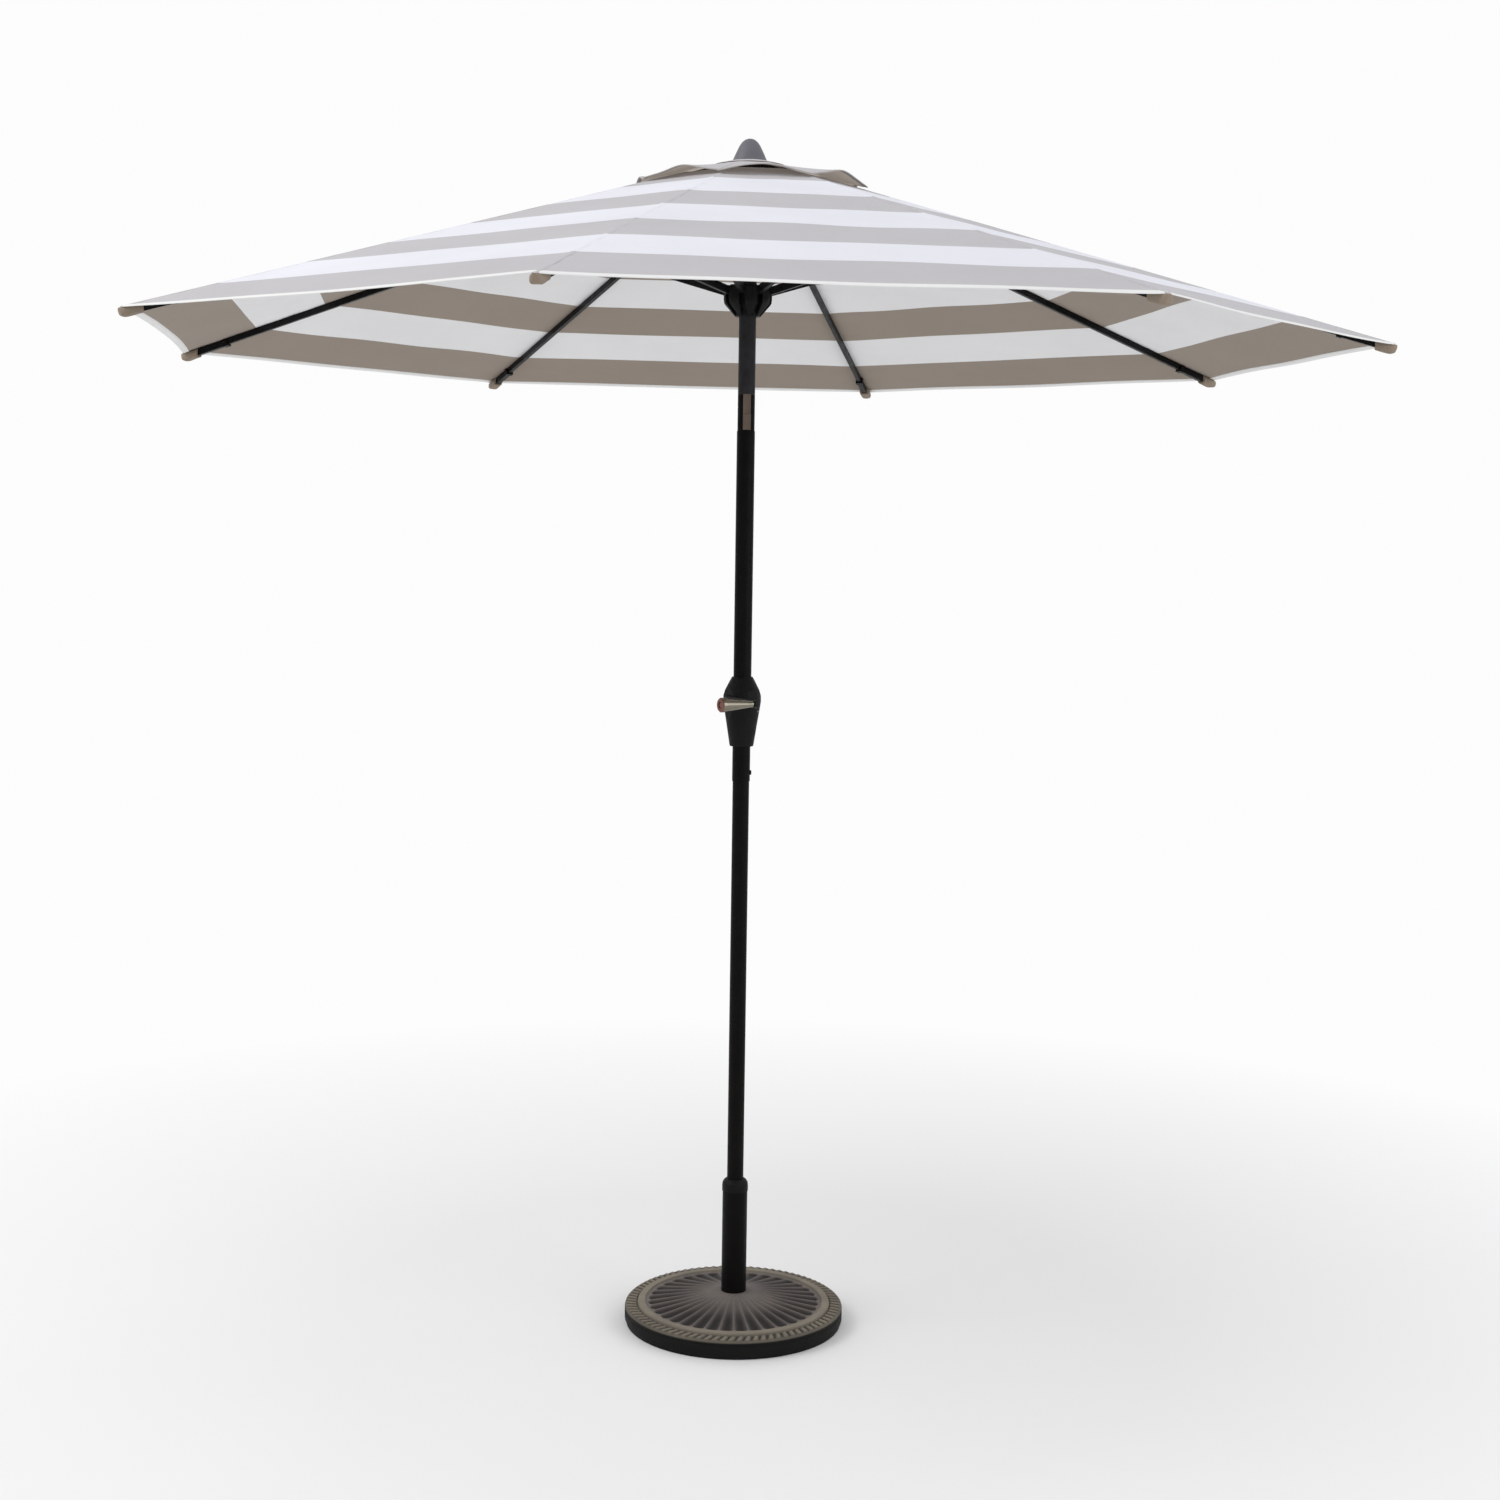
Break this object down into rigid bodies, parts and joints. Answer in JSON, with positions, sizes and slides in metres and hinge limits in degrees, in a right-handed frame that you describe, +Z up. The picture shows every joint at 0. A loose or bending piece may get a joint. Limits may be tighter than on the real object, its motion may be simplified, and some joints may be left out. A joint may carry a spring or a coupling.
{
  "type": "market umbrella",
  "caption": "Round-based patio umbrella with a folding ribbed canopy, vent cover, crank lift and push-button tilt.",
  "frame": {"origin": "on the pole's axis at the floor, in the plane of the base's underside", "axes": "+Z up along the pole, -Y out of the crank housing along the crank shaft, +X to the right seen facing the crank"},
  "size_m": [2.5806, 2.5806, 2.5274],
  "materials": {
    "base_resin": "weathered bronze",
    "pole_black": "satin",
    "pole_grey": "satin",
    "frame_black": "satin",
    "black_plastic": "matte",
    "grey_plastic": "matte",
    "zinc_steel": "brushed",
    "tilt_steel": "brushed",
    "grip_chrome": "polished",
    "cord": "braided",
    "fabric_taupe": "woven"
  },
  "bodies": {
    "base": {"base_disc": "base_resin", "base_tube": "pole_black", "tube_cap": "black_plastic", "clamp_nut": "zinc_steel"},
    "clamp": {"clamp_screw": "zinc_steel", "clamp_knob": "black_plastic"},
    "pole": {"lower_pole": "pole_black", "snap_spring": "zinc_steel", "main_pole": "pole_black", "crank_housing_front": "black_plastic", "crank_housing_back": "black_plastic", "housing_screws": "zinc_steel", "brake_spring": "zinc_steel", "lift_cord_lower": "cord", "tilt_lower_knuckle": "pole_black", "tilt_pin": "zinc_steel"},
    "snap": {"snap_button": "zinc_steel"},
    "crank": {"crank_shaft": "zinc_steel", "cord_spool": "black_plastic", "crank_arm": "frame_black", "grip_pin": "zinc_steel"},
    "grip": {"crank_grip": "grip_chrome"},
    "tilt_lock": {"tilt_button": "tilt_steel", "tilt_spring": "zinc_steel"},
    "top": {"tilt_upper_knuckle": "tilt_steel", "top_pole": "pole_grey", "lift_cord_middle": "cord", "lift_cord_upper": "cord", "top_hub": "black_plastic", "hub_pins": "zinc_steel", "pulley_pin": "zinc_steel", "finial": "grey_plastic", "vent_cover": "fabric_taupe"},
    "pulley_wheel": {"pulley": "black_plastic"},
    "lift": {"runner": "black_plastic"},
    "rib_1": {"rib_1": "frame_black", "canopy_panel_1": "fabric_taupe"},
    "strut_1": {"strut_1": "frame_black"},
    "rib_2": {"rib_2": "frame_black", "canopy_panel_2": "fabric_taupe"},
    "strut_2": {"strut_2": "frame_black"},
    "rib_3": {"rib_3": "frame_black", "canopy_panel_3": "fabric_taupe"},
    "strut_3": {"strut_3": "frame_black"},
    "rib_4": {"rib_4": "frame_black", "canopy_panel_4": "fabric_taupe"},
    "strut_4": {"strut_4": "frame_black"},
    "rib_5": {"rib_5": "frame_black", "canopy_panel_5": "fabric_taupe"},
    "strut_5": {"strut_5": "frame_black"},
    "rib_6": {"rib_6": "frame_black", "canopy_panel_6": "fabric_taupe"},
    "strut_6": {"strut_6": "frame_black"},
    "rib_7": {"rib_7": "frame_black", "canopy_panel_7": "fabric_taupe"},
    "strut_7": {"strut_7": "frame_black"},
    "rib_8": {"rib_8": "frame_black", "canopy_panel_8": "fabric_taupe"},
    "strut_8": {"strut_8": "frame_black"}
  },
  "joints": [
    {"name": "pole_swivel", "type": "hinge", "parent": "base", "child": "pole", "pos_m": [0, 0, 0.3], "axis": [0, 0, 1], "continuous": true},
    {"name": "clamp_turn", "type": "hinge", "parent": "base", "child": "clamp", "pos_m": [-0.0433, 0.025, 0.236], "axis": [-0.866, 0.5, 0], "continuous": true},
    {"name": "snap_press", "type": "slide", "parent": "pole", "child": "snap", "axis": [-0.5, -0.866, 0], "range_m": [0, 0.0045], "stiffness_N_per_m": 300, "springref_m": -0.003},
    {"name": "canopy_tilt", "type": "hinge", "parent": "pole", "child": "top", "pos_m": [0, 0, 1.976], "axis": [0.4226, 0.9063, 0], "range_deg": [-35, 0]},
    {"name": "tilt_button_press", "type": "slide", "parent": "pole", "child": "tilt_lock", "axis": [-0.9063, 0.4226, 0], "range_m": [0, 0.004], "stiffness_N_per_m": 300, "springref_m": -0.003},
    {"name": "grip_spin", "type": "hinge", "parent": "crank", "child": "grip", "pos_m": [0.115, -0.08, 1.36], "axis": [0, -1, 0], "continuous": true},
    {"name": "canopy_fold", "type": "hinge", "parent": "top", "child": "rib_1", "pos_m": [0, -0.045, 2.4475], "axis": [1, 0, 0], "range_deg": [0, 65.2]},
    {"name": "strut_1_fold", "type": "hinge", "parent": "rib_1", "child": "strut_1", "pos_m": [0, -0.43176, 2.33073], "axis": [1, 0, 0], "range_deg": [-130.4, 0]},
    {"name": "rib_2_fold", "type": "hinge", "parent": "top", "child": "rib_2", "pos_m": [0.03182, -0.03182, 2.4475], "axis": [0.7071, 0.7071, 0], "range_deg": [0, 65.2]},
    {"name": "strut_2_fold", "type": "hinge", "parent": "rib_2", "child": "strut_2", "pos_m": [0.3053, -0.3053, 2.33073], "axis": [0.7071, 0.7071, 0], "range_deg": [-130.4, 0]},
    {"name": "rib_3_fold", "type": "hinge", "parent": "top", "child": "rib_3", "pos_m": [0.045, 0, 2.4475], "axis": [0, 1, 0], "range_deg": [0, 65.2]},
    {"name": "strut_3_fold", "type": "hinge", "parent": "rib_3", "child": "strut_3", "pos_m": [0.43176, 0, 2.33073], "axis": [0, 1, 0], "range_deg": [-130.4, 0]},
    {"name": "rib_4_fold", "type": "hinge", "parent": "top", "child": "rib_4", "pos_m": [0.03182, 0.03182, 2.4475], "axis": [-0.7071, 0.7071, 0], "range_deg": [0, 65.2]},
    {"name": "strut_4_fold", "type": "hinge", "parent": "rib_4", "child": "strut_4", "pos_m": [0.3053, 0.3053, 2.33073], "axis": [-0.7071, 0.7071, 0], "range_deg": [-130.4, 0]},
    {"name": "rib_5_fold", "type": "hinge", "parent": "top", "child": "rib_5", "pos_m": [0, 0.045, 2.4475], "axis": [-1, 0, 0], "range_deg": [0, 65.2]},
    {"name": "strut_5_fold", "type": "hinge", "parent": "rib_5", "child": "strut_5", "pos_m": [0, 0.43176, 2.33073], "axis": [-1, 0, 0], "range_deg": [-130.4, 0]},
    {"name": "rib_6_fold", "type": "hinge", "parent": "top", "child": "rib_6", "pos_m": [-0.03182, 0.03182, 2.4475], "axis": [-0.7071, -0.7071, 0], "range_deg": [0, 65.2]},
    {"name": "strut_6_fold", "type": "hinge", "parent": "rib_6", "child": "strut_6", "pos_m": [-0.3053, 0.3053, 2.33073], "axis": [-0.7071, -0.7071, 0], "range_deg": [-130.4, 0]},
    {"name": "rib_7_fold", "type": "hinge", "parent": "top", "child": "rib_7", "pos_m": [-0.045, 0, 2.4475], "axis": [0, -1, 0], "range_deg": [0, 65.2]},
    {"name": "strut_7_fold", "type": "hinge", "parent": "rib_7", "child": "strut_7", "pos_m": [-0.43176, 0, 2.33073], "axis": [0, -1, 0], "range_deg": [-130.4, 0]},
    {"name": "rib_8_fold", "type": "hinge", "parent": "top", "child": "rib_8", "pos_m": [-0.03182, -0.03182, 2.4475], "axis": [0.7071, -0.7071, 0], "range_deg": [0, 65.2]},
    {"name": "strut_8_fold", "type": "hinge", "parent": "rib_8", "child": "strut_8", "pos_m": [-0.3053, -0.3053, 2.33073], "axis": [0.7071, -0.7071, 0], "range_deg": [-130.4, 0]},
    {"name": "runner_slide", "type": "slide", "parent": "top", "child": "lift", "axis": [0, 0, -1], "range_m": [0, 0.5666], "deforming": ["lift_cord_upper"]},
    {"name": "crank_turn", "type": "hinge", "parent": "pole", "child": "crank", "pos_m": [0, -0.02, 1.36], "axis": [0, -1, 0], "range_deg": [0, 2970]},
    {"name": "pulley_turn", "type": "hinge", "parent": "top", "child": "pulley_wheel", "pos_m": [-0.00517, 0.01247, 2.4385], "axis": [-0.9239, -0.3827, 0], "range_deg": [0, 3607.08]}
  ],
  "couplings": [
    {"joint": "strut_1_fold", "follows": "canopy_fold", "ratio": -2},
    {"joint": "rib_2_fold", "follows": "canopy_fold", "ratio": 1},
    {"joint": "strut_2_fold", "follows": "canopy_fold", "ratio": -2},
    {"joint": "rib_3_fold", "follows": "canopy_fold", "ratio": 1},
    {"joint": "strut_3_fold", "follows": "canopy_fold", "ratio": -2},
    {"joint": "rib_4_fold", "follows": "canopy_fold", "ratio": 1},
    {"joint": "strut_4_fold", "follows": "canopy_fold", "ratio": -2},
    {"joint": "rib_5_fold", "follows": "canopy_fold", "ratio": 1},
    {"joint": "strut_5_fold", "follows": "canopy_fold", "ratio": -2},
    {"joint": "rib_6_fold", "follows": "canopy_fold", "ratio": 1},
    {"joint": "strut_6_fold", "follows": "canopy_fold", "ratio": -2},
    {"joint": "rib_7_fold", "follows": "canopy_fold", "ratio": 1},
    {"joint": "strut_7_fold", "follows": "canopy_fold", "ratio": -2},
    {"joint": "rib_8_fold", "follows": "canopy_fold", "ratio": 1},
    {"joint": "strut_8_fold", "follows": "canopy_fold", "ratio": -2},
    {"joint": "runner_slide", "follows": "canopy_fold", "m_per_rad": 0.49791},
    {"joint": "crank_turn", "follows": "canopy_fold", "ratio": 45.552},
    {"joint": "pulley_turn", "follows": "canopy_fold", "ratio": 55.323}
  ]
}
